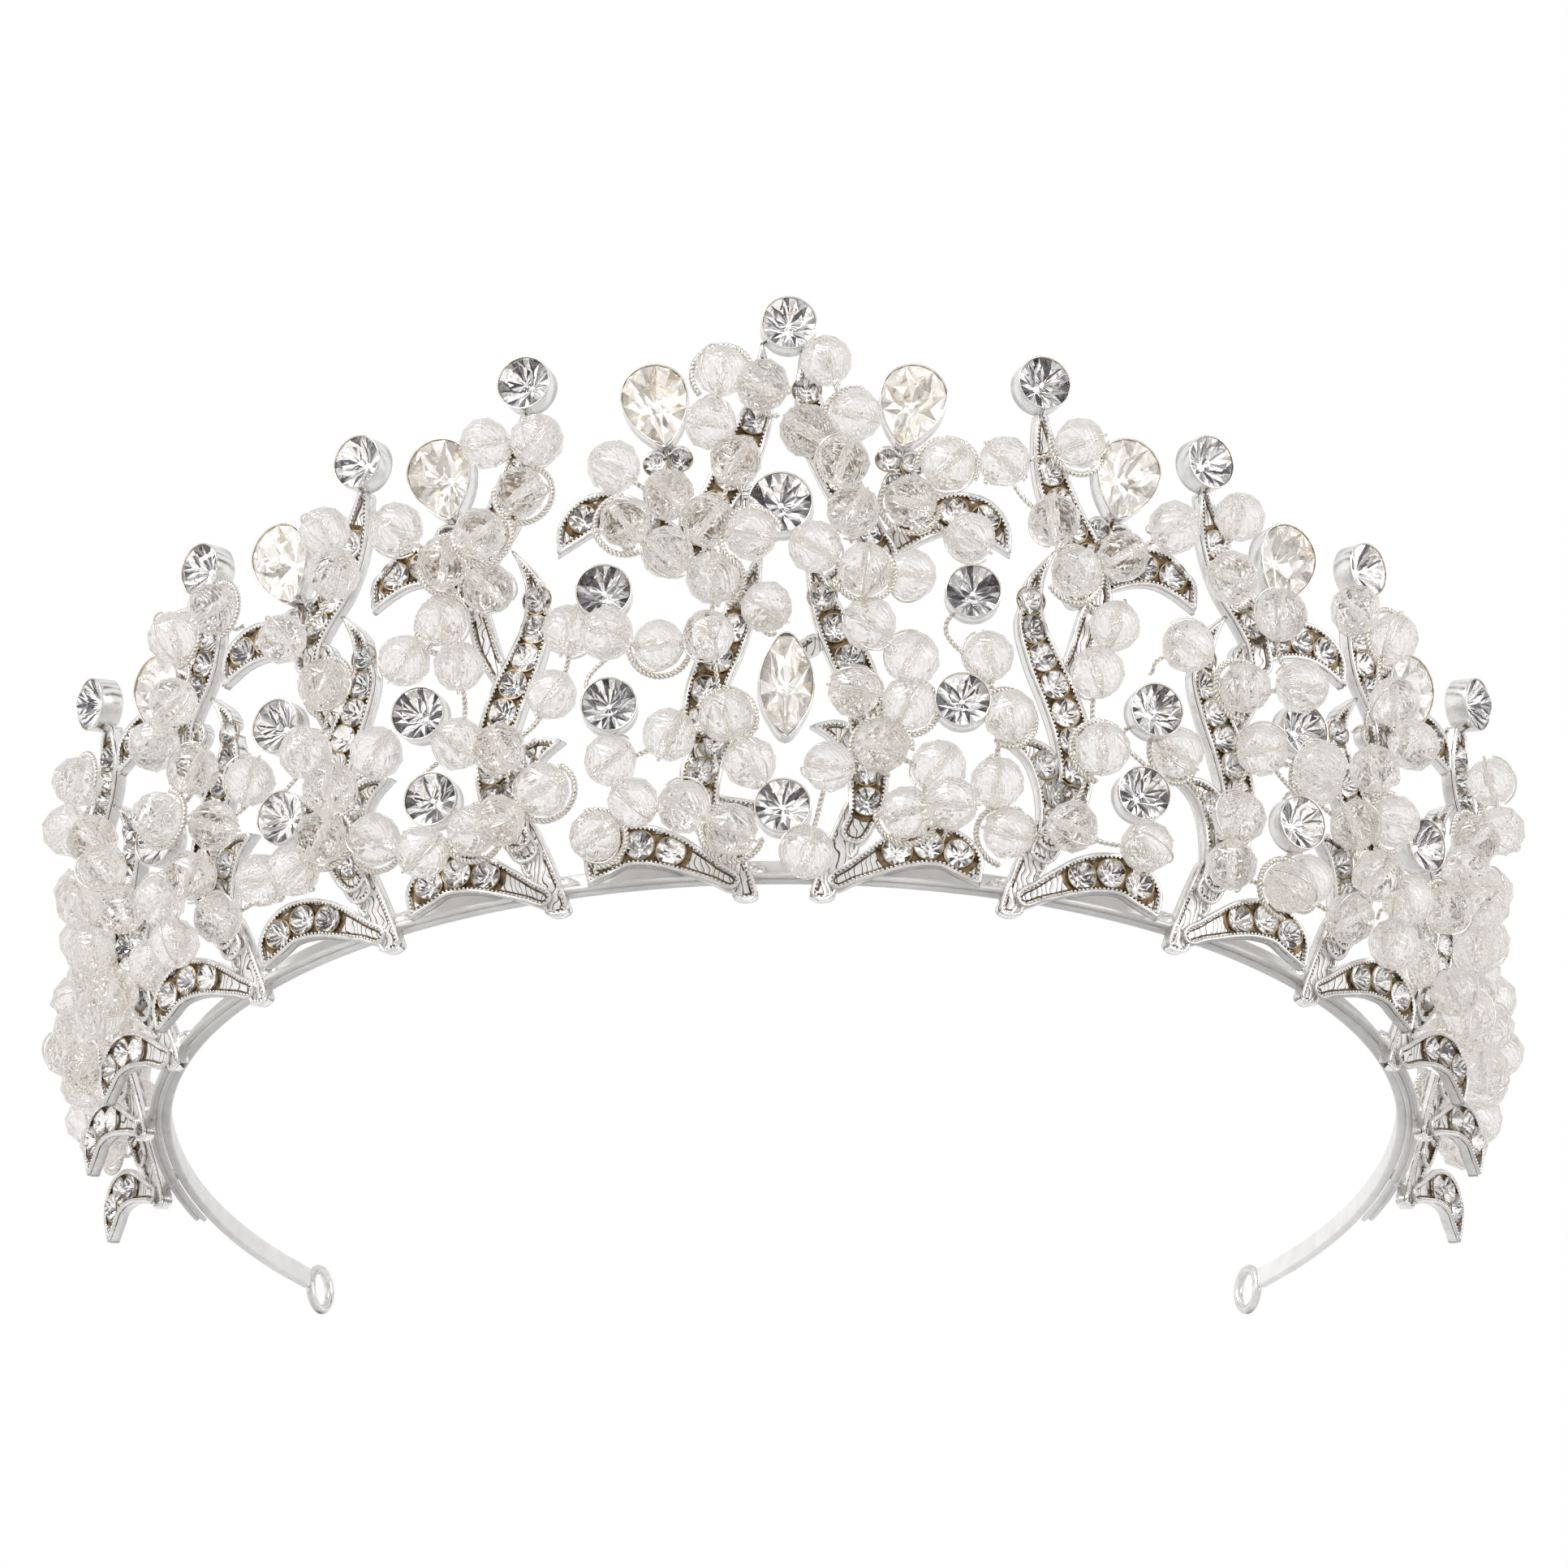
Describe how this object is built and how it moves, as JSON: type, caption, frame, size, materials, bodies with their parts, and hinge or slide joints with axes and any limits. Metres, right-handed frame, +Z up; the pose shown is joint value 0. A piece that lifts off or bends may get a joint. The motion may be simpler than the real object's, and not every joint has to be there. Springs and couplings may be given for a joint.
{
  "type": "bridal tiara",
  "caption": "Bridal tiara: stone-set leaf sprays on a springy open headband, with faceted crystal beads wired in front of them and a point of stones at the centre.",
  "frame": {"origin": "centre of the tiara's footprint, on the surface that it stands on", "axes": "+X towards the viewer's right with the front facing them, +Y from the front towards the open back, +Z up"},
  "size_m": [0.1786, 0.1408, 0.0704],
  "materials": {
    "silver_plate": "polished silver plate, darkened in the recesses",
    "round_stone": "clear foil-backed rhinestone",
    "clear_stone": "clear foil-backed stone with large facets",
    "crystal_bead": "clear faceted glass on silver wire"
  },
  "bodies": {
    "root": {"headband": "silver_plate", "end_loop_right": "silver_plate", "end_loop_left": "silver_plate", "spray_right_0": "silver_plate", "teardrop_right_0": "clear_stone", "spike_stone_centre": "round_stone", "navette_centre": "clear_stone", "wire_stones_right_0": "round_stone", "sprig_right_0": "crystal_bead", "spray_right_1": "silver_plate", "spike_stone_right_1": "round_stone", "teardrop_right_1": "clear_stone", "wire_stones_right_1": "round_stone", "sprig_right_1": "crystal_bead", "spray_right_2": "silver_plate", "spike_stone_right_2": "round_stone", "teardrop_right_2": "clear_stone", "wire_stones_right_2": "round_stone", "sprig_right_2": "crystal_bead", "spray_right_3": "silver_plate", "spike_stone_right_3": "round_stone", "teardrop_right_3": "clear_stone", "wire_stones_right_3": "round_stone", "sprig_right_3": "crystal_bead", "spray_right_4": "silver_plate", "spike_stone_right_4": "round_stone", "sprig_right_4": "crystal_bead", "spray_right_5": "silver_plate", "sprig_right_5": "crystal_bead", "spray_right_6": "silver_plate", "sprig_right_6": "crystal_bead", "spray_left_0": "silver_plate", "teardrop_left_0": "clear_stone", "round_stone_centre": "round_stone", "round_stone_base": "round_stone", "wire_stones_left_0": "round_stone", "sprig_left_0": "crystal_bead", "spray_left_1": "silver_plate", "spike_stone_left_1": "round_stone", "teardrop_left_1": "clear_stone", "wire_stones_left_1": "round_stone", "sprig_left_1": "crystal_bead", "spray_left_2": "silver_plate", "spike_stone_left_2": "round_stone", "teardrop_left_2": "clear_stone", "wire_stones_left_2": "round_stone", "sprig_left_2": "crystal_bead", "spray_left_3": "silver_plate", "spike_stone_left_3": "round_stone", "teardrop_left_3": "clear_stone", "wire_stones_left_3": "round_stone", "sprig_left_3": "crystal_bead", "spray_left_4": "silver_plate", "spike_stone_left_4": "round_stone", "sprig_left_4": "crystal_bead", "spray_left_5": "silver_plate", "sprig_left_5": "crystal_bead", "spray_left_6": "silver_plate", "sprig_left_6": "crystal_bead"}
  },
  "joints": []
}
